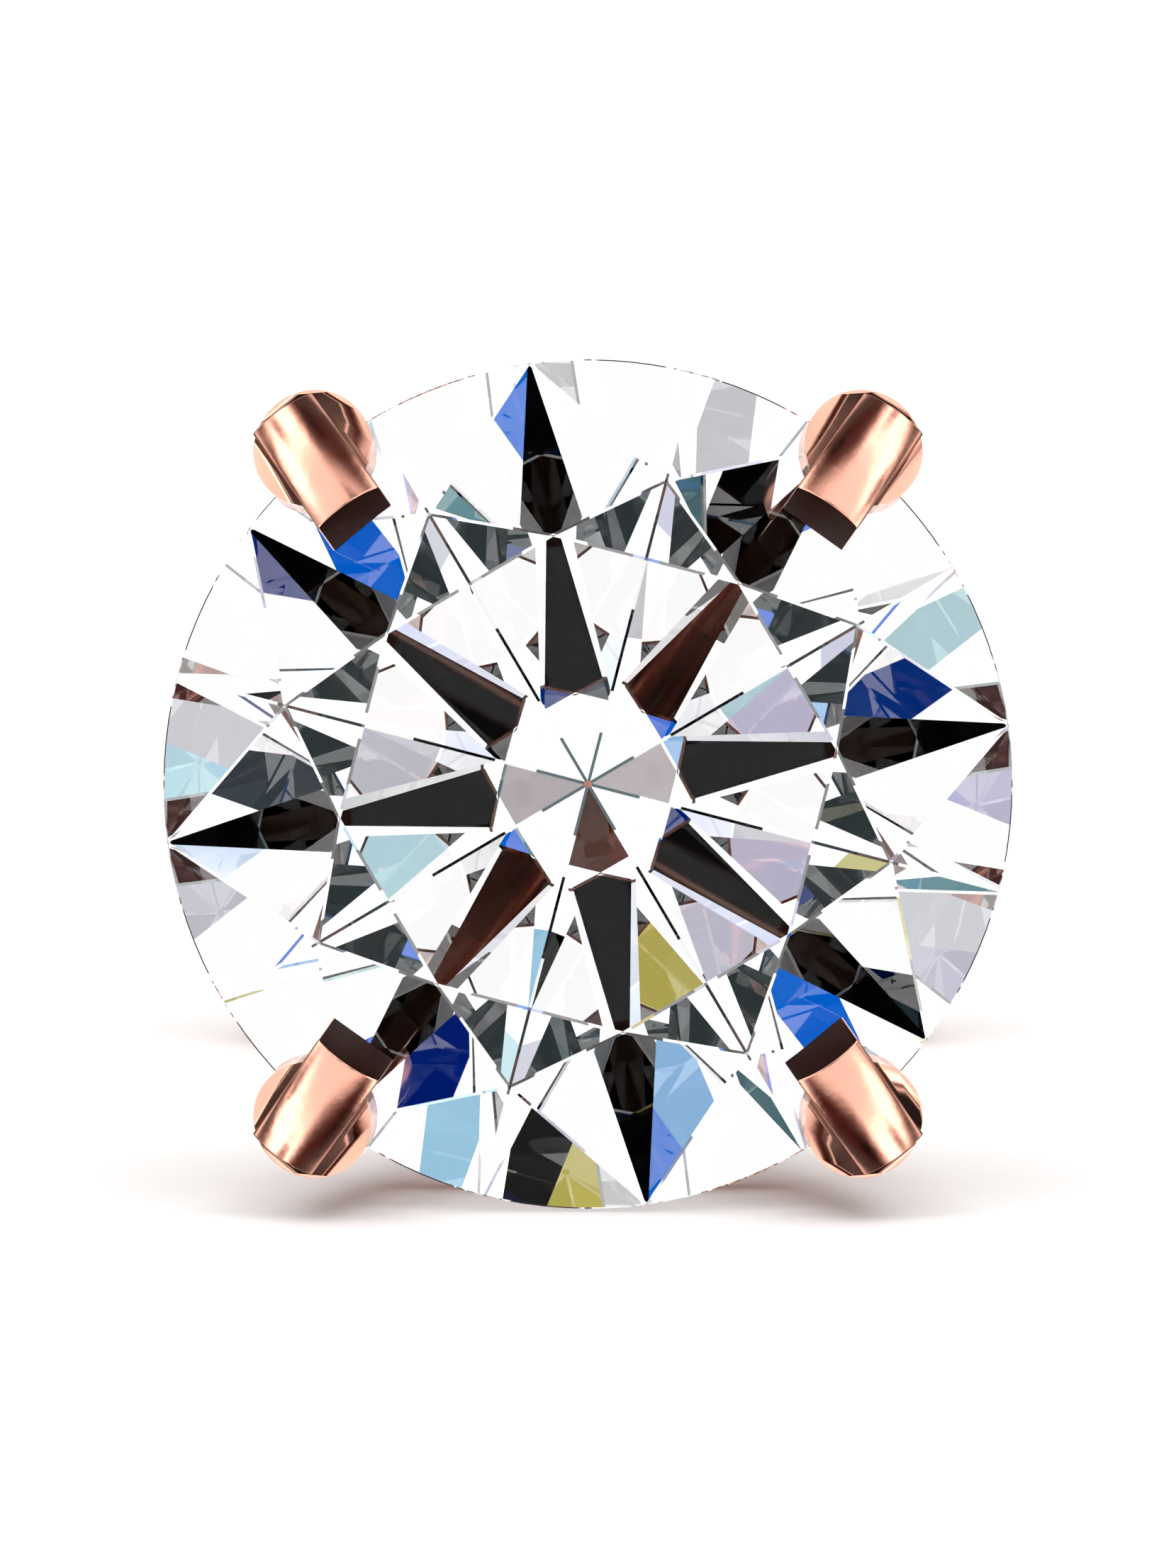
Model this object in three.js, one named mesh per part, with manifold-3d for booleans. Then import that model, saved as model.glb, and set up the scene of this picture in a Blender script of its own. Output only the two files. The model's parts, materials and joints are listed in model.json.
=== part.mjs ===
// A four-claw stud earring with a round brilliant stone and its push back, in millimetres.
//
// The pieces are modelled along the stud's own axis: the girdle lies in the plane z = 0, the table
// faces +z, the post runs back along -z, and +y is the top of the stud as it is worn. The finished
// stud is then laid on its side, resting on its lower claws and on the push back.

import * as THREE from 'three';
import { mergeVertices } from 'three/addons/utils/BufferGeometryUtils.js';
import Module from 'manifold-3d';

// Stone: a round brilliant. Heights are measured from the middle of the girdle.
const STONE_RADIUS = 3.25;
const TABLE_RADIUS = 0.59 * STONE_RADIUS; // out to the table's corners
const GIRDLE_HALF_HEIGHT = 0.03 * STONE_RADIUS; // where the main facets meet it, its thickest places
const CROWN_ANGLE = THREE.MathUtils.degToRad(34.5);
const PAVILION_ANGLE = THREE.MathUtils.degToRad(40.8);
const STAR_REACH = 0.5; // how far the star facets reach from the table's side to the girdle
const LOWER_REACH = 0.78; // how far the lower-girdle facets reach from the girdle to the culet
const STONE_TURN = THREE.MathUtils.degToRad(8); // where the first main facet points, from +x
const MAIN_FACETS = 8;
const GIRDLE_STEPS = 6; // straight sides of the girdle along each girdle facet

// Claws: round rods that rise from the base to the girdle, each with a narrower filed tip that is
// bent over the crown.
const CLAW_ANGLE = THREE.MathUtils.degToRad(50.6); // from the x axis, in each quadrant
const CLAW_ROD_RADIUS = 0.46;
const CLAW_FOOT = { r: 1.32, z: -3.72 };
const CLAW_FOOT_HANDLE = { r: 2.35, z: -2.45 };
const CLAW_TOP_HANDLE = { r: 3.14, z: -1.2 };
const CLAW_TOP = { r: 3.37, z: 1.1 };
const CLAW_STEPS = 14;
const CLAW_SIDES = 20; // an even number
const TIP_WIDTH = 0.56;
const TIP_LENGTH = 1;
const TIP_DEPTH = 0.6;
const TIP_CROWN = 0.08; // how far the middle of its top stands above its two long edges
const TIP_PITCH = THREE.MathUtils.degToRad(27); // how steeply its top climbs towards the table
const TIP_TURN = THREE.MathUtils.degToRad(4.6); // how far it is turned from pointing at the axis
const TIP_OUTER = { r: 3.71, z: 0.58 }; // the outer end of its top, on the middle line
const ROD_CUT_DEPTH = 0.12; // how far below the tip's top each rod is cut off
const SEAT_SCALE = 1.01; // the seat is the stone's shape this much larger, which leaves the gap

// Gallery rail, base and post.
const RAIL = { r: 2.84, z: -1.5, wire: 0.27 };
const BASE_FRONT = -3.4;
const BASE_BACK = -4.05;
const BASE_RADIUS = 1.72;
const BASE_EDGE = 0.14;
const POST_RADIUS = 0.4;
const POST_END = -13.9;
const POST_POINT = 0.22; // how far the post's end is rounded over
const SOLDER_FILLET = 0.3;
const NOTCH = { z: -11.45, halfWidth: 0.5, depth: 0.06 }; // where the push back's curls grip
const ROUND_SIDES = 32;

// Push back: one strip of sheet, curled inwards at both ends so that the curls grip the post.
const SHEET = 0.3;
const BACK_HEIGHT = 3.8;
const BACK_FRONT = -10.3; // the strip's front face
const CURL_RADIUS = 1.0; // of the middle of the sheet
const CURL_END = THREE.MathUtils.degToRad(320); // how far round each curl goes; it passes the post at 270
const CURL_STEPS = 16;
const HOLE_SIDES = 16;
const POST_GAP = 0.04;

const wasm = await Module();
wasm.setup();

const polar = (radius, angle, z) =>
  new THREE.Vector3(radius * Math.cos(angle), radius * Math.sin(angle), z);

/** Drops everything but position, joins vertices that coincide and leaves out collapsed triangles. */
function weld(geometry) {
  const bare = geometry.clone();
  bare.deleteAttribute('normal');
  bare.deleteAttribute('uv');
  const merged = mergeVertices(bare, 1e-5);
  const index = [];
  for (let i = 0; i < merged.index.count; i += 3) {
    const [a, b, c] = [0, 1, 2].map((corner) => merged.index.getX(i + corner));
    if (a !== b && b !== c && c !== a) {
      index.push(a, b, c);
    }
  }
  merged.setIndex(index);
  return merged;
}

/** A closed geometry as a manifold solid. */
function toSolid(geometry) {
  const welded = weld(geometry);
  const mesh = new wasm.Mesh({
    numProp: 3,
    vertProperties: Float32Array.from(welded.attributes.position.array),
    triVerts: Uint32Array.from(welded.index.array),
  });
  return new wasm.Manifold(mesh);
}

/** A manifold solid as a geometry. */
function toGeometry(solid) {
  const mesh = solid.getMesh();
  const geometry = new THREE.BufferGeometry();
  geometry.setAttribute('position', new THREE.BufferAttribute(mesh.vertProperties, 3));
  geometry.setIndex(new THREE.BufferAttribute(mesh.triVerts, 1));
  return geometry;
}

// ---- Stone ----

/** The height of the plane through three points, over a place in plan. */
function heightOnPlane([a, b, c], place) {
  const plane = new THREE.Plane().setFromCoplanarPoints(a, b, c);
  return -(plane.normal.x * place.x + plane.normal.y * place.y + plane.constant) / plane.normal.z;
}

/** The girdle line where the plane of a girdle facet cuts the girdle, from its first corner to its last. */
function girdleLine(apex, from, to, z) {
  const facet = [apex, polar(STONE_RADIUS, from, z), polar(STONE_RADIUS, to, z)];
  const line = [];
  for (let i = 0; i <= GIRDLE_STEPS; i += 1) {
    const place = polar(STONE_RADIUS, THREE.MathUtils.lerp(from, to, i / GIRDLE_STEPS), z);
    place.z = heightOnPlane(facet, place);
    line.push(place);
  }
  return line;
}

/** The facets of the stone, each a flat polygon. */
function brilliantFacets() {
  const halfStep = Math.PI / MAIN_FACETS;
  const toSide = Math.cos(halfStep);
  const crownHeight = (r) => GIRDLE_HALF_HEIGHT + (STONE_RADIUS - r) * Math.tan(CROWN_ANGLE);
  const pavilionHeight = (r) => -GIRDLE_HALF_HEIGHT - (STONE_RADIUS - r) * Math.tan(PAVILION_ANGLE);
  const tableSide = TABLE_RADIUS * toSide;
  const starRadius = tableSide + STAR_REACH * (STONE_RADIUS * toSide - tableSide);
  const lowerRadius = (1 - LOWER_REACH) * STONE_RADIUS;
  const culet = new THREE.Vector3(0, 0, pavilionHeight(0));
  const facets = [];
  const table = [];
  for (let i = 0; i < MAIN_FACETS; i += 1) {
    const main = STONE_TURN + 2 * i * halfStep;
    const corner = polar(TABLE_RADIUS, main, crownHeight(TABLE_RADIUS));
    const nextCorner = polar(TABLE_RADIUS, main + 2 * halfStep, crownHeight(TABLE_RADIUS));
    const [starBefore, starAfter] = [-halfStep, halfStep].map((turn) =>
      polar(starRadius, main + turn, crownHeight(starRadius * toSide)));
    const [ridgeBefore, ridgeAfter] = [-halfStep, halfStep].map((turn) =>
      polar(lowerRadius, main + turn, pavilionHeight(lowerRadius * toSide)));
    table.push(corner);
    facets.push([corner, starAfter, nextCorner]);
    facets.push([corner, starBefore, polar(STONE_RADIUS, main, GIRDLE_HALF_HEIGHT), starAfter]);
    facets.push([culet, ridgeBefore, polar(STONE_RADIUS, main, -GIRDLE_HALF_HEIGHT), ridgeAfter]);
    for (const [turn, star, ridge] of [[-halfStep, starBefore, ridgeBefore], [halfStep, starAfter, ridgeAfter]]) {
      const upper = girdleLine(star, main, main + turn, GIRDLE_HALF_HEIGHT);
      const lower = girdleLine(ridge, main, main + turn, -GIRDLE_HALF_HEIGHT);
      facets.push([star, ...upper], [ridge, ...lower]);
      for (let step = 0; step < GIRDLE_STEPS; step += 1) {
        facets.push([upper[step], upper[step + 1], lower[step + 1], lower[step]]);
      }
    }
  }
  facets.push(table);
  return facets;
}

/** A convex solid round the origin from its flat facets, cut into triangles that face outwards. */
function convexSolid(facets) {
  const places = [];
  for (const facet of facets) {
    const [a, b, c] = facet;
    const normal = b.clone().sub(a).cross(c.clone().sub(a));
    const corners = normal.dot(a) > 0 ? facet : facet.toReversed();
    for (let i = 1; i < corners.length - 1; i += 1) {
      for (const corner of [corners[0], corners[i], corners[i + 1]]) {
        places.push(...corner.toArray());
      }
    }
  }
  const geometry = new THREE.BufferGeometry();
  geometry.setAttribute('position', new THREE.Float32BufferAttribute(places, 3));
  return weld(geometry);
}

// ---- Setting ----

/** A claw's rod and tip, in the half plane y = 0 with the stud's axis on the left. */
function claw() {
  const place = ({ r, z }) => new THREE.Vector3(r, 0, z);
  const line = new THREE.CubicBezierCurve3(
    place(CLAW_FOOT), place(CLAW_FOOT_HANDLE), place(CLAW_TOP_HANDLE), place(CLAW_TOP));
  const section = new THREE.Shape().absarc(0, 0, CLAW_ROD_RADIUS, 0, 2 * Math.PI);
  const rod = toSolid(new THREE.ExtrudeGeometry(section, {
    steps: CLAW_STEPS, curveSegments: CLAW_SIDES / 2, extrudePath: line,
  }));
  const top = new THREE.Vector3(Math.sin(TIP_PITCH), 0, Math.cos(TIP_PITCH));
  const cut = top.dot(place(TIP_OUTER)) - ROD_CUT_DEPTH;
  return rod.trimByPlane(top.clone().negate().toArray(), -cut).add(clawTip());
}

/** The tip: a bar with straight sides and a gently crowned top. */
function clawTip() {
  const half = TIP_WIDTH / 2;
  const arcRadius = (half * half + TIP_CROWN * TIP_CROWN) / (2 * TIP_CROWN);
  const arcHalf = Math.asin(half / arcRadius);
  const section = new THREE.Shape()
    .moveTo(-half, -TIP_DEPTH)
    .lineTo(half, -TIP_DEPTH)
    .lineTo(half, -TIP_CROWN)
    .absarc(0, -arcRadius, arcRadius, Math.PI / 2 - arcHalf, Math.PI / 2 + arcHalf);
  const bar = new THREE.ExtrudeGeometry(section, {
    depth: TIP_LENGTH, bevelEnabled: false, curveSegments: 4,
  });
  const inwards = new THREE.Vector3(-Math.cos(TIP_PITCH), 0, Math.sin(TIP_PITCH));
  const up = new THREE.Vector3(Math.sin(TIP_PITCH), 0, Math.cos(TIP_PITCH));
  const across = up.clone().cross(inwards);
  bar.applyMatrix4(new THREE.Matrix4().makeBasis(across, up, inwards));
  bar.rotateZ(TIP_TURN);
  bar.translate(TIP_OUTER.r, 0, TIP_OUTER.z);
  return toSolid(bar);
}

/** Base and post, one turned piece: a low cup with the post soldered to the middle of its back. */
function baseAndPost() {
  const rim = BASE_RADIUS - BASE_EDGE;
  const profile = [
    [0, POST_END],
    [POST_RADIUS - POST_POINT, POST_END],
    [POST_RADIUS - POST_POINT * 0.3, POST_END + POST_POINT * 0.3],
    [POST_RADIUS, POST_END + POST_POINT],
    [POST_RADIUS, NOTCH.z - NOTCH.halfWidth],
    [POST_RADIUS - NOTCH.depth, NOTCH.z - NOTCH.halfWidth / 2],
    [POST_RADIUS - NOTCH.depth, NOTCH.z + NOTCH.halfWidth / 2],
    [POST_RADIUS, NOTCH.z + NOTCH.halfWidth],
    [POST_RADIUS, BASE_BACK - SOLDER_FILLET],
    [POST_RADIUS + SOLDER_FILLET * 0.3, BASE_BACK - SOLDER_FILLET * 0.3],
    [POST_RADIUS + SOLDER_FILLET, BASE_BACK],
    [rim, BASE_BACK],
    [BASE_RADIUS, BASE_BACK + BASE_EDGE],
    [BASE_RADIUS, BASE_FRONT - BASE_EDGE],
    [rim, BASE_FRONT],
    [0, BASE_FRONT],
  ].map(([r, z]) => new THREE.Vector2(r, z));
  return toSolid(new THREE.LatheGeometry(profile, ROUND_SIDES).rotateX(Math.PI / 2));
}

function galleryRail() {
  return toSolid(new THREE.TorusGeometry(RAIL.r, RAIL.wire, 10, 48).translate(0, 0, RAIL.z));
}

/** Claws, rail, base and post joined, with the seat for the stone cut into the claws. */
function setting(stone) {
  const right = claw();
  let joined = baseAndPost().add(galleryRail());
  for (const side of [0, 1]) {
    const upper = right.rotate([0, 0, THREE.MathUtils.radToDeg(CLAW_ANGLE)]);
    const pair = upper.add(upper.mirror([0, 1, 0]));
    joined = joined.add(side === 0 ? pair : pair.mirror([1, 0, 0]));
  }
  return toGeometry(joined.subtract(toSolid(stone).scale(SEAT_SCALE)));
}

// ---- Push back ----

/** The middle line of one half of the strip, from the middle of the plate to the end of its curl. */
function curlLine() {
  const centreX = POST_RADIUS + POST_GAP + SHEET / 2 + CURL_RADIUS;
  const line = [];
  for (let i = 0; i <= CURL_STEPS; i += 1) {
    const turn = (CURL_END * i) / CURL_STEPS;
    line.push(new THREE.Vector2(centreX + CURL_RADIUS * Math.sin(turn), CURL_RADIUS * (Math.cos(turn) - 1)));
  }
  return line;
}

/** A line moved sideways by a distance, to the left of its direction where that is positive. */
function offset(line, distance) {
  return line.map((point, i) => {
    const before = line[Math.max(i - 1, 0)];
    const after = line[Math.min(i + 1, line.length - 1)];
    const along = after.clone().sub(before).normalize();
    return new THREE.Vector2(point.x - along.y * distance, point.y + along.x * distance);
  });
}

function pushBack() {
  const right = curlLine();
  const left = right.map(({ x, y }) => new THREE.Vector2(-x, y)).reverse();
  const strip = [...left, ...right];
  const outline = [...offset(strip, SHEET / 2), ...offset(strip, -SHEET / 2).reverse()];
  const sheet = new THREE.ExtrudeGeometry(new THREE.Shape(outline), { depth: BACK_HEIGHT, bevelEnabled: false });
  sheet.translate(0, 0, -BACK_HEIGHT / 2);
  sheet.rotateX(Math.PI / 2);
  sheet.translate(0, 0, BACK_FRONT - SHEET / 2);
  const hole = new THREE.CylinderGeometry(POST_RADIUS + POST_GAP, POST_RADIUS + POST_GAP, 4 * SHEET, HOLE_SIDES);
  hole.rotateX(Math.PI / 2);
  hole.translate(0, 0, BACK_FRONT - SHEET / 2);
  return toGeometry(toSolid(sheet).subtract(toSolid(hole)));
}

// ---- Laying the stud down ----

/** The lowest point of some meshes with the stud's axis tipped this far up from level. */
function lowest(meshes, tip) {
  const point = new THREE.Vector3();
  let least = Infinity;
  for (const { geometry: { attributes: { position } } } of meshes) {
    for (let i = 0; i < position.count; i += 1) {
      point.fromBufferAttribute(position, i);
      least = Math.min(least, point.y * Math.cos(tip) + point.z * Math.sin(tip));
    }
  }
  return least;
}

/** How far the table is tipped up when the stud's front and the push back both touch the surface. */
function restingTip(front, back) {
  let [level, steep] = [0, Math.PI / 4];
  for (let i = 0; i < 50; i += 1) {
    const tip = (level + steep) / 2;
    [level, steep] = lowest(front, tip) < lowest(back, tip) ? [tip, steep] : [level, tip];
  }
  return level;
}

// ---- Model ----

const roseGold = { color: 0xe0a184, metalness: 1, roughness: 0.18 };
const clear = { color: 0xf4f6fa, metalness: 0, roughness: 0.02, transparent: true, opacity: 0.45 };

function piece(name, geometry, look) {
  const mesh = new THREE.Mesh(geometry, new THREE.MeshStandardMaterial(look));
  mesh.name = name;
  return mesh;
}

const stoneGeometry = convexSolid(brilliantFacets());
const stone = piece('stone', stoneGeometry, clear);
const mounting = piece('setting', setting(stoneGeometry), roseGold);
const clasp = piece('push_back', pushBack(), roseGold);

const stud = new THREE.Group();
stud.add(stone, mounting, clasp);
stud.rotation.x = Math.PI / 2 - restingTip([stone, mounting], [clasp]);

const group = new THREE.Group();
group.add(stud);
const box = new THREE.Box3().setFromObject(group, true);
const centre = box.getCenter(new THREE.Vector3());
stud.position.set(-centre.x, -centre.y, -box.min.z);

export default group;
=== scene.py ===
"""The looks of a four-claw stud earring, lying on a pale surface and seen face-on.

Pieces are modelled in millimetres along the stud's own axis (girdle at z = 0, table towards +z, +y up),
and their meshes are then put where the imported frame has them.
"""

import math

import bmesh
import bpy
from mathutils import Matrix, Vector
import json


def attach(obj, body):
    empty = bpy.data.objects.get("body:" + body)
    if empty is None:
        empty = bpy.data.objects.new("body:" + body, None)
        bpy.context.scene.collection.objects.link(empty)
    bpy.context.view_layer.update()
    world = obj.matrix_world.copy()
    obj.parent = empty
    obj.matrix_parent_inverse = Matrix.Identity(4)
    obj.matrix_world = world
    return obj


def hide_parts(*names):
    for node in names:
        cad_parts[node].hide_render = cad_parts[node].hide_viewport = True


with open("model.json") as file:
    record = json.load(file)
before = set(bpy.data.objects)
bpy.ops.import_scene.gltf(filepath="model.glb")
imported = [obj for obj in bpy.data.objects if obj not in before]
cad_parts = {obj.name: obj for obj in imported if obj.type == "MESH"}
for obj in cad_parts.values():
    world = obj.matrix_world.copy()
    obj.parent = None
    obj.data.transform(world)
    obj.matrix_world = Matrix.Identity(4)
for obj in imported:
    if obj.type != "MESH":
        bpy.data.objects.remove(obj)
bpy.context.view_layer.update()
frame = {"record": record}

# ---- Sizes, in millimetres ----

WELD = 1e-5  # points closer than this are one
TINY = 1e-6
EDGE_SEGMENTS = 3  # steps in a rounded edge

STONE_RADIUS = 3.25
TABLE_RADIUS = 0.59 * STONE_RADIUS
GIRDLE_HALF_HEIGHT = 0.03 * STONE_RADIUS
CROWN_ANGLE = math.radians(34.5)
PAVILION_ANGLE = math.radians(40.8)
STAR_REACH = 0.5
LOWER_REACH = 0.78
STONE_TURN = math.radians(8)
MAIN_FACETS = 8
GIRDLE_STEPS = 8
FACET_EDGE = 0.012  # how wide the facets' edges are worn
FACET_EDGE_ANGLE = 8  # degrees; edges flatter than this are left alone
UPRIGHT = 0.01  # how much the normal of the girdle's faces may lean

CLAW_ANGLE = math.radians(50.6)
CLAW_ROD_RADIUS = 0.46
CLAW_LINE = [(1.32, -3.72), (2.35, -2.45), (3.14, -1.2), (3.37, 1.1)]  # a cubic curve's handles, as (r, z)
CLAW_STEPS = 30
CLAW_SIDES = 40
TIP_WIDTH = 0.56
TIP_LENGTH = 1.0
TIP_DEPTH = 0.6
TIP_CROWN = 0.08
TIP_PITCH = math.radians(27)
TIP_TURN = math.radians(4.6)
TIP_OUTER = (3.71, 0.58)
TIP_STEPS = 14
TIP_EDGE = 0.014  # how much the tip's edges are rounded
FACES_INWARDS = 0.99  # a tip's inner end is the face whose normal is this close to pointing inwards
ROD_CUT_DEPTH = 0.12
ROD_EDGE = 0.05
CLAW_EDGE_ANGLE = 40  # degrees
SEAT_SCALE = 1.01

RAIL_RADIUS = 2.84
RAIL_HEIGHT = -1.5
RAIL_WIRE = 0.25
RAIL_FLARE = 0.09  # how much solder thickens the rail at each claw
RAIL_FLARE_REACH = math.radians(7)
RAIL_STEPS = 160
RAIL_SIDES = 20

BASE_FRONT = -3.4
BASE_BACK = -4.05
BASE_RADIUS = 1.72
BASE_EDGE = 0.14
POST_RADIUS = 0.4
POST_END = -13.9
POST_POINT = 0.22
SOLDER_FILLET = 0.3
SOLDER_STEP = 0.04
NOTCH_HEIGHT = -11.45
NOTCH_HALF_WIDTH = 0.5
NOTCH_DEPTH = 0.06
NOTCH_EDGE = 0.2
LATHE_STEPS = 72

SHEET = 0.3
BACK_HEIGHT = 3.8
BACK_FRONT = -10.3
CURL_RADIUS = 1.0
CURL_END = math.radians(320)
CURL_STEPS = 48
POST_GAP = 0.04
SHEET_EDGE = 0.07
SHEET_EDGE_ANGLE = 50  # degrees
HOLE_STEPS = 48

CAMERA_DISTANCE = 250.0
VIEW_WIDTH = 9.0  # how wide the frame is in the stud's plane
SENSOR = 24.0
CLIP_START = 0.01  # metres
FLOOR_SIZE = 4.0  # metres

# ---- Where the stud lies, from the frame's own mounts ----


def stud_place():
    """The matrix from the stud's millimetres to the frame, worked out from the mount on the base's back."""
    mounts = {m["name"]: m for m in frame["record"]["mounts"]}
    lobe = mounts["lobe_face"]
    axis = -Vector(lobe["axis"]).normalized()
    right = Vector((1, 0, 0))
    up = axis.cross(right)
    turn = Matrix((right, up, axis)).transposed().to_4x4()
    across = Vector(lobe["pos_m"]).dot(right)
    origin = Vector(lobe["pos_m"]) - across * right - axis * BASE_BACK / 1000
    return Matrix.Translation(origin) @ turn @ Matrix.Scale(0.001, 4)


PLACE = stud_place()
AXIS = (PLACE.to_3x3() @ Vector((0, 0, 1))).normalized()
UP = (PLACE.to_3x3() @ Vector((0, 1, 0))).normalized()
RIGHT = Vector((1, 0, 0))
CENTRE = PLACE.translation


def polar(radius, angle, z):
    return Vector((radius * math.cos(angle), radius * math.sin(angle), z))


# ---- Mesh helpers ----


def mesh_object(name, vertices, faces, materials=()):
    """A new object with a closed mesh, faces turned outwards, in the stud's millimetres."""
    mesh = bpy.data.meshes.new(name)
    mesh.from_pydata([tuple(v) for v in vertices], [], faces)
    work = bmesh.new()
    work.from_mesh(mesh)
    bmesh.ops.remove_doubles(work, verts=work.verts, dist=WELD)
    bmesh.ops.recalc_face_normals(work, faces=work.faces)
    work.to_mesh(mesh)
    work.free()
    for material in materials:
        mesh.materials.append(material)
    obj = bpy.data.objects.new(name, mesh)
    bpy.context.scene.collection.objects.link(obj)
    return obj


def apply_modifiers(obj):
    """Keeps an object's mesh as its modifiers leave it."""
    graph = bpy.context.evaluated_depsgraph_get()
    mesh = bpy.data.meshes.new_from_object(obj.evaluated_get(graph))
    obj.modifiers.clear()
    old = obj.data
    obj.data = mesh
    bpy.data.meshes.remove(old)


def bevel(obj, width, segments, angle):
    """Rounds every edge sharper than an angle in degrees."""
    modifier = obj.modifiers.new("edges", "BEVEL")
    modifier.width = width
    modifier.segments = segments
    modifier.limit_method = "ANGLE"
    modifier.angle_limit = math.radians(angle)
    apply_modifiers(obj)


def boolean(obj, other, operation):
    """Joins or cuts an object with another, which is used up."""
    modifier = obj.modifiers.new("boolean", "BOOLEAN")
    modifier.operation = operation
    modifier.solver = "EXACT"
    modifier.object = other
    apply_modifiers(obj)
    bpy.data.objects.remove(other)


def finish_piece(obj, node, sharp_angle=None):
    """Puts a piece where the frame has it and hides the node it stands for.

    It is shaded smooth but for edges sharper than an angle in degrees, or flat where none is given.
    """
    obj.data.transform(PLACE)
    for face in obj.data.polygons:
        face.use_smooth = sharp_angle is not None
    if sharp_angle is not None:
        obj.data.set_sharp_from_angle(angle=math.radians(sharp_angle))
    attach(obj, "root")
    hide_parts(node)


def lathe(name, profile, materials=(), steps=LATHE_STEPS):
    """A turned solid from (r, z) points that start and end on the axis."""
    vertices, faces = [], []
    for i in range(steps):
        vertices += [polar(r, 2 * math.pi * i / steps, z) for r, z in profile]
    count = len(profile)
    for i in range(steps):
        here, there = i * count, (i + 1) % steps * count
        for j in range(count - 1):
            quad = [here + j, here + j + 1, there + j + 1, there + j]
            if profile[j][0] == 0:
                quad.remove(there + j)
            if profile[j + 1][0] == 0:
                quad.remove(there + j + 1)
            faces.append(quad)
    return mesh_object(name, vertices, faces, materials)


def rounded(corners, reaches, steps=5):
    """A line of (r, z) points with all but its ends rounded, each from its own reach along both sides."""
    nearly_half = 0.49
    line = [corners[0]]
    for i in range(1, len(corners) - 1):
        before, corner, after = (Vector(corners[k]) for k in (i - 1, i, i + 1))
        reach = reaches[i - 1]
        start = corner + (before - corner).normalized() * min(reach, (before - corner).length * nearly_half)
        end = corner + (after - corner).normalized() * min(reach, (after - corner).length * nearly_half)
        for k in range(steps + 1):
            t = k / steps
            line.append(tuple(start * (1 - t) ** 2 + corner * 2 * t * (1 - t) + end * t**2))
    return line + [corners[-1]]


# ---- Stone ----


def on_plane(points, place):
    """A place moved along z onto the plane through three points."""
    a, b, c = points
    normal = (b - a).cross(c - a)
    z = a.z - (normal.x * (place.x - a.x) + normal.y * (place.y - a.y)) / normal.z
    return Vector((place.x, place.y, z))


def girdle_line(apex, start, end, z):
    """The line along which a girdle facet's plane cuts the round girdle."""
    facet = [apex, polar(STONE_RADIUS, start, z), polar(STONE_RADIUS, end, z)]
    angles = [start + (end - start) * i / GIRDLE_STEPS for i in range(GIRDLE_STEPS + 1)]
    return [on_plane(facet, polar(STONE_RADIUS, angle, z)) for angle in angles]


def brilliant():
    """The stone's flat facets as polygons."""
    half = math.pi / MAIN_FACETS
    to_side = math.cos(half)

    def crown(r):
        return GIRDLE_HALF_HEIGHT + (STONE_RADIUS - r) * math.tan(CROWN_ANGLE)

    def pavilion(r):
        return -GIRDLE_HALF_HEIGHT - (STONE_RADIUS - r) * math.tan(PAVILION_ANGLE)

    table_side = TABLE_RADIUS * to_side
    star_radius = table_side + STAR_REACH * (STONE_RADIUS * to_side - table_side)
    lower_radius = (1 - LOWER_REACH) * STONE_RADIUS
    culet = Vector((0, 0, pavilion(0)))
    table, facets = [], []
    for i in range(MAIN_FACETS):
        main = STONE_TURN + 2 * i * half
        corner = polar(TABLE_RADIUS, main, crown(TABLE_RADIUS))
        next_corner = polar(TABLE_RADIUS, main + 2 * half, crown(TABLE_RADIUS))
        stars = [polar(star_radius, main + s * half, crown(star_radius * to_side)) for s in (-1, 1)]
        ridges = [polar(lower_radius, main + s * half, pavilion(lower_radius * to_side)) for s in (-1, 1)]
        table.append(corner)
        facets.append([corner, stars[1], next_corner])
        facets.append([corner, stars[0], polar(STONE_RADIUS, main, GIRDLE_HALF_HEIGHT), stars[1]])
        facets.append([culet, ridges[0], polar(STONE_RADIUS, main, -GIRDLE_HALF_HEIGHT), ridges[1]])
        for side in (0, 1):
            end = main + (2 * side - 1) * half
            upper = girdle_line(stars[side], main, end, GIRDLE_HALF_HEIGHT)
            lower = girdle_line(ridges[side], main, end, -GIRDLE_HALF_HEIGHT)
            facets.append([stars[side]] + upper)
            facets.append([ridges[side]] + lower)
            for k in range(GIRDLE_STEPS):
                facets.append([upper[k], upper[k + 1], lower[k + 1], lower[k]])
    return [table] + facets


def facet_mesh(name, facets, materials):
    """A closed object from facets given as loops of points."""
    vertices, faces = [], []
    for facet in facets:
        faces.append(list(range(len(vertices), len(vertices) + len(facet))))
        vertices += facet
    return mesh_object(name, vertices, faces, materials)


def make_stone(polished, ground):
    """The stone, clear but for its ground girdle. It lets light through, so it casts no shadow."""
    stone = facet_mesh("brilliant", brilliant(), (polished, ground))
    bevel(stone, FACET_EDGE, 1, FACET_EDGE_ANGLE)
    for face in stone.data.polygons:
        if abs(face.normal.z) < UPRIGHT:
            face.material_index = 1
    stone.visible_shadow = False
    finish_piece(stone, "stone")


# ---- Setting ----


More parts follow.
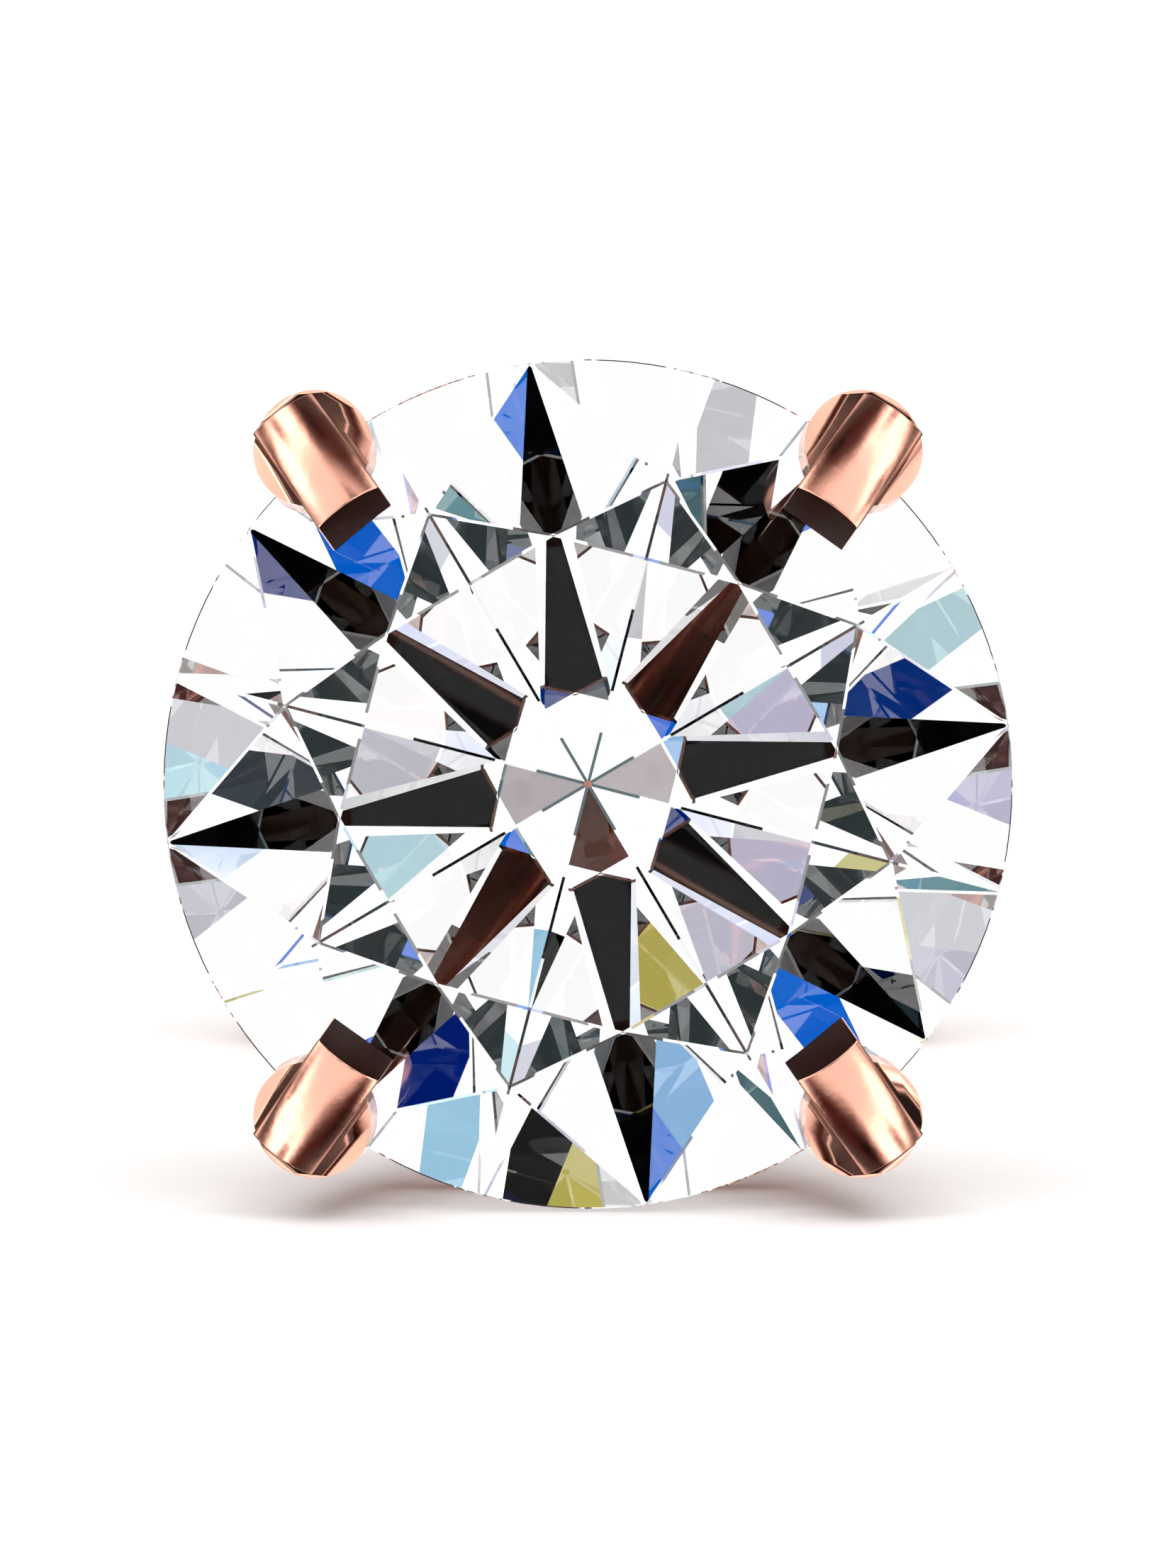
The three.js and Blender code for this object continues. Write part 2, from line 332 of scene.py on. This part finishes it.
def claw_rod(materials):
    """A claw's rod, swept along its curve in the plane y = 0 and cut off under the tip."""
    a, b, c, d = (Vector((r, 0, z)) for r, z in CLAW_LINE)
    side = Vector((0, 1, 0))
    top = Vector((math.sin(TIP_PITCH), 0, math.cos(TIP_PITCH)))
    cut = top.dot(Vector((TIP_OUTER[0], 0, TIP_OUTER[1]))) - ROD_CUT_DEPTH
    rings = []
    for i in range(CLAW_STEPS + 1):
        t = i / CLAW_STEPS
        s = 1 - t
        middle = a * s**3 + b * 3 * s * s * t + c * 3 * s * t * t + d * t**3
        along = ((b - a) * s * s + (c - b) * 2 * s * t + (d - c) * t * t).normalized()
        out = side.cross(along)
        ring = []
        for k in range(CLAW_SIDES):
            angle = 2 * math.pi * k / CLAW_SIDES
            point = middle + (out * math.cos(angle) + side * math.sin(angle)) * CLAW_ROD_RADIUS
            over = top.dot(point) - cut
            if over > 0:
                point -= along * (over / top.dot(along))
            ring.append(point)
        rings.append(ring)
        if min(top.dot(point) for point in ring) >= cut - TINY:
            break
    vertices = [point for ring in rings for point in ring]
    faces = [list(range(CLAW_SIDES)), [len(vertices) - CLAW_SIDES + k for k in range(CLAW_SIDES)]]
    for i in range(len(rings) - 1):
        for k in range(CLAW_SIDES):
            after = (k + 1) % CLAW_SIDES
            low, high = i * CLAW_SIDES, (i + 1) * CLAW_SIDES
            faces.append([low + k, low + after, high + after, high + k])
    return mesh_object("rod", vertices, faces, materials)


def claw_tip(materials):
    """The filed tip that is bent over the crown: straight sides and a gently crowned top."""
    half = TIP_WIDTH / 2
    arc_radius = (half**2 + TIP_CROWN**2) / (2 * TIP_CROWN)
    arc_half = math.asin(half / arc_radius)
    section = [(-half, -TIP_DEPTH), (half, -TIP_DEPTH)]
    for i in range(TIP_STEPS + 1):
        angle = arc_half * (1 - 2 * i / TIP_STEPS)
        section.append((arc_radius * math.sin(angle), arc_radius * (math.cos(angle) - 1)))
    inwards = Vector((-math.cos(TIP_PITCH), 0, math.sin(TIP_PITCH)))
    up = Vector((math.sin(TIP_PITCH), 0, math.cos(TIP_PITCH)))
    across = up.cross(inwards)
    turn = Matrix.Rotation(TIP_TURN, 3, "Z")
    outer = Vector((TIP_OUTER[0], 0, TIP_OUTER[1]))
    vertices = []
    for reach in (0, TIP_LENGTH):
        vertices += [outer + turn @ (across * u + up * v + inwards * reach) for u, v in section]
    count = len(section)
    faces = [list(range(count)), list(range(count, 2 * count))]
    faces += [[k, (k + 1) % count, count + (k + 1) % count, count + k] for k in range(count)]
    tip = mesh_object("tip", vertices, faces, materials)
    # The tip's inner end takes the second material, a near-black painted shade.
    for face in tip.data.polygons:
        if face.normal.dot(turn @ inwards) > FACES_INWARDS:
            face.material_index = 1
    bevel(tip, TIP_EDGE, EDGE_SEGMENTS, CLAW_EDGE_ANGLE)
    return tip


def base_and_post(materials):
    """The turned base, and the post soldered to its back, with the notch that the clasp snaps into."""
    corners = [
        (0, POST_END),
        (POST_RADIUS, POST_END),
        (POST_RADIUS, NOTCH_HEIGHT - NOTCH_HALF_WIDTH),
        (POST_RADIUS - NOTCH_DEPTH, NOTCH_HEIGHT - NOTCH_HALF_WIDTH / 2),
        (POST_RADIUS - NOTCH_DEPTH, NOTCH_HEIGHT + NOTCH_HALF_WIDTH / 2),
        (POST_RADIUS, NOTCH_HEIGHT + NOTCH_HALF_WIDTH),
        (POST_RADIUS, BASE_BACK - SOLDER_STEP),
        (POST_RADIUS + SOLDER_STEP, BASE_BACK),
        (BASE_RADIUS, BASE_BACK),
        (BASE_RADIUS, BASE_FRONT),
        (0, BASE_FRONT),
    ]
    reaches = [POST_POINT] + [NOTCH_EDGE] * 4 + [SOLDER_FILLET] * 2 + [BASE_EDGE] * 2
    return lathe("base", rounded(corners, reaches), materials)


def gallery_rail(materials):
    """The wire ring behind the girdle, thickened by solder where it meets each claw."""
    claws = [CLAW_ANGLE, math.pi - CLAW_ANGLE, math.pi + CLAW_ANGLE, -CLAW_ANGLE]
    vertices, faces = [], []
    for i in range(RAIL_STEPS):
        angle = 2 * math.pi * i / RAIL_STEPS
        wire = RAIL_WIRE
        for claw in claws:
            away = math.remainder(angle - claw, 2 * math.pi)
            wire += RAIL_FLARE * math.exp(-((away / RAIL_FLARE_REACH) ** 4))
        for k in range(RAIL_SIDES):
            turn = 2 * math.pi * k / RAIL_SIDES
            radius = RAIL_RADIUS + wire * math.cos(turn)
            vertices.append(polar(radius, angle, RAIL_HEIGHT + wire * math.sin(turn)))
    for i in range(RAIL_STEPS):
        here, there = i * RAIL_SIDES, (i + 1) % RAIL_STEPS * RAIL_SIDES
        for k in range(RAIL_SIDES):
            after = (k + 1) % RAIL_SIDES
            faces.append([here + k, here + after, there + after, there + k])
    return mesh_object("rail", vertices, faces, materials)


def make_setting(polished, unpolished_shaded):
    """The claws, rail, base and post in one; the seat cut for the stone is left rough and gets a near-black
    painted shade.
    """
    materials = (polished, unpolished_shaded)
    setting = base_and_post(materials)
    setting.name = "claw_setting"
    boolean(setting, gallery_rail(materials), "UNION")
    for across in (1, -1):
        for upright in (1, -1):
            rod = claw_rod(materials)
            bevel(rod, ROD_EDGE, EDGE_SEGMENTS, CLAW_EDGE_ANGLE)
            boolean(rod, claw_tip(materials), "UNION")
            rod.data.transform(Matrix.Rotation(CLAW_ANGLE, 4, "Z"))
            rod.data.transform(Matrix.Diagonal((across, upright, 1, 1)))
            if across * upright < 0:
                rod.data.flip_normals()
            boolean(setting, rod, "UNION")
    larger = [[corner * SEAT_SCALE for corner in facet] for facet in brilliant()]
    seat = facet_mesh("seat", larger, materials)
    # The seat's cut faces take the second material: rough metal in a near-black painted shade.
    for face in seat.data.polygons:
        face.material_index = 1
    boolean(setting, seat, "DIFFERENCE")
    finish_piece(setting, "setting", sharp_angle=30)


# ---- Push back ----


def make_push_back(material):
    """A strip of sheet with a hole for the post, curled inwards at both ends."""
    centre = POST_RADIUS + POST_GAP + SHEET / 2 + CURL_RADIUS
    right = []
    for i in range(CURL_STEPS + 1):
        turn = CURL_END * i / CURL_STEPS
        right.append(Vector((centre + CURL_RADIUS * math.sin(turn), CURL_RADIUS * (math.cos(turn) - 1))))
    strip = [Vector((-p.x, p.y)) for p in reversed(right)] + right
    sides = []
    for distance in (SHEET / 2, -SHEET / 2):
        side = []
        for i, point in enumerate(strip):
            along = (strip[min(i + 1, len(strip) - 1)] - strip[max(i - 1, 0)]).normalized()
            side.append(point + Vector((-along.y, along.x)) * distance)
        sides.append(side)
    outline = sides[0] + sides[1][::-1]
    middle = BACK_FRONT - SHEET / 2
    count = len(outline)
    edges = (-BACK_HEIGHT / 2, BACK_HEIGHT / 2)
    vertices = [Vector((p.x, y, middle + p.y)) for y in edges for p in outline]
    faces = []
    for k in range(count):
        after = (k + 1) % count
        faces.append([k, after, count + after, count + k])
    for k in range(len(strip) - 1):
        far = count - 1 - k
        for low in (0, count):
            faces.append([low + k, low + k + 1, low + far - 1, low + far])
    clasp = mesh_object("butterfly_back", vertices, faces, (material,))
    hole_radius = POST_RADIUS + POST_GAP
    ends = (middle - SHEET, middle + SHEET)
    wall = [(0, ends[0]), (hole_radius, ends[0]), (hole_radius, ends[1]), (0, ends[1])]
    hole = lathe("hole", wall, steps=HOLE_STEPS)
    boolean(clasp, hole, "DIFFERENCE")
    bevel(clasp, SHEET_EDGE, EDGE_SEGMENTS, SHEET_EDGE_ANGLE)
    finish_piece(clasp, "push_back", sharp_angle=35)


# ---- Materials ----

GOLD = (0.94, 0.46, 0.34)
CLASP_GOLD = (0.92, 0.48, 0.36)
STONE_IOR = 2.2
SEAT_PAINTED_SHADE = (0.035, 0.012, 0.008)  # painted shade: near-black on the seat where the claws meet the stone and on the tips' inner ends
DARKER = 0.93  # the darker of a metal's two colours, as a share of the lighter
DULLER = 0.09  # how much rougher a metal is where it is polished least
LINE_SCALE = (9000, 1500, 9000)  # polishing lines, finer across than along
RELIEF_DEPTH = 0.00001  # metres
TINT_RANGE = (0.3, 0.7)  # the noise values between which the colour changes
POLISH_RANGE = (0.35, 0.75)  # and those between which the roughness does


def new_material(name):
    material = bpy.data.materials.new(name)
    material.use_nodes = True
    tree = material.node_tree
    return material, tree, tree.nodes["Principled BSDF"]


def node(tree, kind, **settings):
    made = tree.nodes.new(kind)
    for key, value in settings.items():
        setattr(made, key, value)
    return made


def noise(tree, place, scale, detail):
    """Noise at a place, with about so many changes in one unit of the place."""
    made = node(tree, "ShaderNodeTexNoise")
    made.inputs["Scale"].default_value = scale
    made.inputs["Detail"].default_value = detail
    tree.links.new(place, made.inputs["Vector"])
    return made.outputs["Fac"]


def tint(tree, fac, shader, low, high):
    """Lets the base colour wander between two colours."""
    ramp = node(tree, "ShaderNodeValToRGB")
    for stop, position, colour in zip(ramp.color_ramp.elements, TINT_RANGE, (low, high)):
        stop.position = position
        stop.color = (*colour, 1)
    tree.links.new(fac, ramp.inputs["Fac"])
    tree.links.new(ramp.outputs["Color"], shader.inputs["Base Color"])


def polish(tree, fac, shader, least, most):
    """Lets the roughness wander between two values."""
    spread = node(tree, "ShaderNodeMapRange")
    spread.inputs["From Min"].default_value = POLISH_RANGE[0]
    spread.inputs["From Max"].default_value = POLISH_RANGE[1]
    spread.inputs["To Min"].default_value = least
    spread.inputs["To Max"].default_value = most
    tree.links.new(fac, spread.inputs["Value"])
    tree.links.new(spread.outputs["Result"], shader.inputs["Roughness"])


def relief(tree, fac, shader, strength):
    """Raises the surface a little where the noise is high."""
    bump = node(tree, "ShaderNodeBump")
    bump.inputs["Strength"].default_value = strength
    bump.inputs["Distance"].default_value = RELIEF_DEPTH
    tree.links.new(fac, bump.inputs["Height"])
    tree.links.new(bump.outputs["Normal"], shader.inputs["Normal"])


def rose_gold(name, colour, scratches, roughness):
    """Rose gold with a slow change of colour, an uneven polish and fine polishing lines."""
    material, tree, shader = new_material(name)
    shader.inputs["Metallic"].default_value = 1.0
    place = node(tree, "ShaderNodeTexCoord").outputs["Object"]
    tint(tree, noise(tree, place, 900, 3), shader, [c * DARKER for c in colour], colour)
    polish(tree, noise(tree, place, 2600, 5), shader, roughness, roughness + DULLER)
    stretch = node(tree, "ShaderNodeMapping")
    stretch.inputs["Scale"].default_value = LINE_SCALE
    tree.links.new(place, stretch.inputs["Vector"])
    relief(tree, noise(tree, stretch.outputs["Vector"], 1, 4), shader, scratches)
    return material


def polished_stone():
    """The clear stone, with a trace of cloudiness in its colour."""
    material, tree, shader = new_material("clear_stone")
    shader.inputs["Transmission Weight"].default_value = 1.0
    shader.inputs["Roughness"].default_value = 0.0
    shader.inputs["IOR"].default_value = STONE_IOR
    place = node(tree, "ShaderNodeTexCoord").outputs["Object"]
    tint(tree, noise(tree, place, 700, 2), shader, (0.985, 0.988, 0.996), (0.998, 0.999, 1.0))
    return material


def ground_girdle():
    """The girdle's frosted edge, ground and left unpolished."""
    material, tree, shader = new_material("ground_girdle")
    shader.inputs["Transmission Weight"].default_value = 1.0
    shader.inputs["IOR"].default_value = STONE_IOR
    place = node(tree, "ShaderNodeTexCoord").outputs["Object"]
    tint(tree, noise(tree, place, 3000, 3), shader, (0.93, 0.94, 0.96), (0.99, 0.99, 1.0))
    polish(tree, noise(tree, place, 9000, 4), shader, 0.28, 0.42)
    relief(tree, noise(tree, place, 30000, 3), shader, 0.2)
    return material


# ---- Studio ----

# Panels hung round the stud, by where they stand as seen from it, in degrees: azimuth anticlockwise from
# the right, polar angle from the stud's axis, how far each reaches to both sides in either, how soft its
# edge is, and its colour. One that reaches 180 degrees goes all round, and a repeated one hangs at equal
# steps round the axis. A later panel hides those before it.
STUDIO_STRENGTH = 1.35
PAPER = (1.0, 1.0, 1.0)  # everywhere between the panels
KEY = (2.4, 2.35, 2.3)
BLACK = (0.0, 0.0, 0.0)
MAROON = (0.05, 0.012, 0.01)


def panel(azimuth, down, wide, tall, soft, colour, repeat=1):
    return dict(azimuth=azimuth, polar=down, wide=wide, tall=tall, soft=soft, colour=colour, repeat=repeat)


# These are mirrored in the claws' tips.
CLAW_LIGHTS = [panel(azimuth, 68, 30, 9, 4, KEY) for azimuth in (36, 144, 216, 324)]
CLAW_SHADES = [panel(azimuth, 70, 22, 18, 8, MAROON) for azimuth in (90, 270)]
# These darken the stone's outline and, repeated all round, some of its facets.
OUTLINES = [
    panel(0, 82, 180, 6, 2, (0.05, 0.05, 0.05)),
    panel(0, 121, 180, 25, 6, (0.02, 0.02, 0.02)),
    panel(8, 69.5, 6, 4, 1.5, BLACK, 8),
    panel(8, 33.5, 2.5, 3, 0.8, BLACK, 8),
    panel(30.5, 36, 5, 2.5, 1, (0.12, 0.17, 0.18), 8),
]
# The dark round the camera makes the arrows black.
CAMERA_SHADE = [panel(0, 0, 180, 16, 0.5, BLACK)]
# These light the wedges between the black arrows.
WEDGES = [
    panel(355, 23.5, 9, 2.4, 0.6, (0.48, 0.46, 0.6)),
    panel(310, 23.5, 9, 2.4, 0.6, (0.46, 0.45, 0.58)),
    panel(336, 23.5, 9, 2.4, 0.6, (0.5, 0.49, 0.58)),
    panel(265, 23.5, 9, 2.4, 0.6, (0.42, 0.37, 0.08)),
    panel(175, 23.5, 9, 2.4, 0.6, (0.45, 0.66, 0.72)),
    panel(201, 23.5, 9, 2.4, 0.6, (0.5, 0.5, 0.55)),
]
# These light the glints beside the arrowheads.
GLINTS = [
    panel(201, 18.5, 9, 1.9, 0.5, (0.0, 0.1, 0.55)),
    panel(175, 18.5, 9, 1.9, 0.5, (0.0, 0.01, 0.14)),
    panel(310, 18.5, 9, 1.9, 0.5, (0.0, 0.02, 0.16)),
    panel(355, 18.5, 9, 1.9, 0.5, BLACK),
    panel(21, 18.5, 9, 1.9, 0.5, (0.0, 0.11, 0.58)),
    panel(140, 17.5, 4, 1.8, 0.5, (0.0, 0.13, 0.6)),
    panel(246, 18.5, 7, 1.9, 0.5, (0.03, 0.04, 0.05)),
    panel(318, 17.5, 4, 1.8, 0.5, (0.0, 0.12, 0.55)),
    panel(220, 18.5, 8, 1.9, 0.5, (0.25, 0.45, 0.7)),
]
# These light single facets near the girdle and, from the last three, in the middle of the stone.
PATCHES = [
    panel(181, 32, 5, 3, 1, (0.3, 0.55, 0.72)),
    panel(329, 32, 8, 3, 1, BLACK),
    panel(1, 32, 5, 3, 1, (0.55, 0.55, 0.58)),
    panel(240, 32, 5, 3, 1, (0.6, 0.6, 0.64)),
    panel(316, 32, 5, 3, 1, (0.42, 0.6, 0.64)),
    panel(271, 32, 5, 3, 1, (0.62, 0.63, 0.66)),
    panel(39, 28, 8, 2.2, 0.6, (0.13, 0.27, 0.3)),
    panel(354, 28, 8, 2, 0.6, (0.05, 0.12, 0.14)),
    panel(98, 40, 12, 5, 1, BLACK),
    panel(188, 40, 12, 5, 1, (0.4, 0.4, 0.42)),
    panel(8, 40, 12, 5, 1, (0.35, 0.35, 0.37)),
]
PANELS = CLAW_LIGHTS + CLAW_SHADES + OUTLINES + CAMERA_SHADE + WEDGES + GLINTS + PATCHES

OVERHEAD_STRENGTH = 2.3
OVERHEAD_SPREAD = math.radians(70)
OVERHEAD_TILT = math.radians(-12)
FLOOR_COLOUR = (0.9, 0.9, 0.9)
BOUNCES = 24
MIRROR_BOUNCES = 12


def maths(tree, operation, *values):
    """The result of a maths node whose inputs are numbers or other nodes' outputs."""
    made = node(tree, "ShaderNodeMath", operation=operation)
    for socket, value in zip(made.inputs, values):
        if hasattr(value, "links"):
            tree.links.new(value, socket)
        else:
            socket.default_value = value
    return made.outputs[0]


def window(tree, away, reach, soft):
    """1 where an angle is within reach, falling to 0 over the soft edge."""
    made = node(tree, "ShaderNodeMapRange", interpolation_type="SMOOTHSTEP")
    tree.links.new(away, made.inputs["Value"])
    made.inputs["From Min"].default_value = math.radians(reach + soft)
    made.inputs["From Max"].default_value = math.radians(reach - soft)
    return made.outputs["Result"]


def make_world():
    """A white studio with the panels in it, found by the angles at which a ray leaves."""
    world = bpy.data.worlds.new("studio")
    bpy.context.scene.world = world
    world.use_nodes = True
    tree = world.node_tree
    link = tree.links.new
    direction = node(tree, "ShaderNodeTexCoord").outputs["Generated"]

    def along(axis):
        dot = node(tree, "ShaderNodeVectorMath", operation="DOT_PRODUCT")
        link(direction, dot.inputs[0])
        dot.inputs[1].default_value = axis
        return dot.outputs["Value"]

    polar_angle = maths(tree, "ARCCOSINE", along(AXIS))
    azimuth = maths(tree, "ARCTAN2", along(UP), along(RIGHT))
    base = node(tree, "ShaderNodeRGB")
    base.outputs[0].default_value = (*PAPER, 1)
    colour = base.outputs[0]
    for hung in PANELS:
        away = maths(tree, "ABSOLUTE", maths(tree, "SUBTRACT", polar_angle, math.radians(hung["polar"])))
        mask = window(tree, away, hung["tall"], hung["soft"])
        if hung["wide"] < 180:
            step = math.pi / hung["repeat"]
            turned = maths(tree, "SUBTRACT", azimuth, math.radians(hung["azimuth"]))
            beside = maths(tree, "ABSOLUTE", maths(tree, "WRAP", turned, step, -step))
            mask = maths(tree, "MULTIPLY", mask, window(tree, beside, hung["wide"], hung["soft"]))
        mix = node(tree, "ShaderNodeMix", data_type="RGBA")
        link(mask, mix.inputs["Factor"])
        link(colour, mix.inputs["A"])
        mix.inputs["B"].default_value = (*hung["colour"], 1)
        colour = mix.outputs["Result"]
    background = tree.nodes["Background"]
    link(colour, background.inputs["Color"])
    background.inputs["Strength"].default_value = STUDIO_STRENGTH


def make_overhead_light():
    """A wide lamp that only lights the floor: polished metal and stone don't mirror it."""
    data = bpy.data.lights.new("overhead", "SUN")
    data.energy = OVERHEAD_STRENGTH
    data.angle = OVERHEAD_SPREAD
    lamp = bpy.data.objects.new("overhead", data)
    lamp.rotation_euler = (OVERHEAD_TILT, 0, 0)
    lamp.visible_glossy = False
    lamp.visible_transmission = False
    bpy.context.scene.collection.objects.link(lamp)


def make_camera():
    """A long lens that looks at the middle of the stone's girdle along the stud's axis."""
    data = bpy.data.cameras.new("camera")
    data.sensor_fit = "HORIZONTAL"
    data.sensor_width = SENSOR
    data.lens = SENSOR * CAMERA_DISTANCE / VIEW_WIDTH
    data.clip_start = CLIP_START
    camera = bpy.data.objects.new("camera", data)
    bpy.context.scene.collection.objects.link(camera)
    turn = Matrix((RIGHT, UP, AXIS)).transposed().to_4x4()
    camera.matrix_world = Matrix.Translation(CENTRE + AXIS * CAMERA_DISTANCE / 1000) @ turn
    bpy.context.scene.camera = camera


def make_floor():
    """The pale surface, which the metal doesn't mirror and the stone doesn't show."""
    bpy.ops.mesh.primitive_plane_add(size=FLOOR_SIZE)
    floor = bpy.context.object
    floor.name = "floor"
    material, _, shader = new_material("floor")
    shader.inputs["Base Color"].default_value = (*FLOOR_COLOUR, 1)
    shader.inputs["Roughness"].default_value = 1.0
    shader.inputs["Specular IOR Level"].default_value = 0.0
    floor.data.materials.append(material)
    floor.visible_glossy = False
    floor.visible_transmission = False


def render_settings():
    scene = bpy.context.scene
    scene.view_settings.view_transform = "Standard"
    scene.cycles.max_bounces = BOUNCES
    scene.cycles.transmission_bounces = BOUNCES
    scene.cycles.glossy_bounces = MIRROR_BOUNCES


make_camera()
make_floor()
make_world()
make_overhead_light()
render_settings()
make_stone(polished_stone(), ground_girdle())
# The second gold is a near-black painted shade for the seat and the tips' inner ends.
make_setting(
    rose_gold("rose_gold", GOLD, scratches=0.15, roughness=0.14),
    rose_gold("unpolished_gold_painted_shade", SEAT_PAINTED_SHADE, scratches=0.6, roughness=0.45),
)
make_push_back(rose_gold("clasp_gold", CLASP_GOLD, scratches=0.35, roughness=0.16))
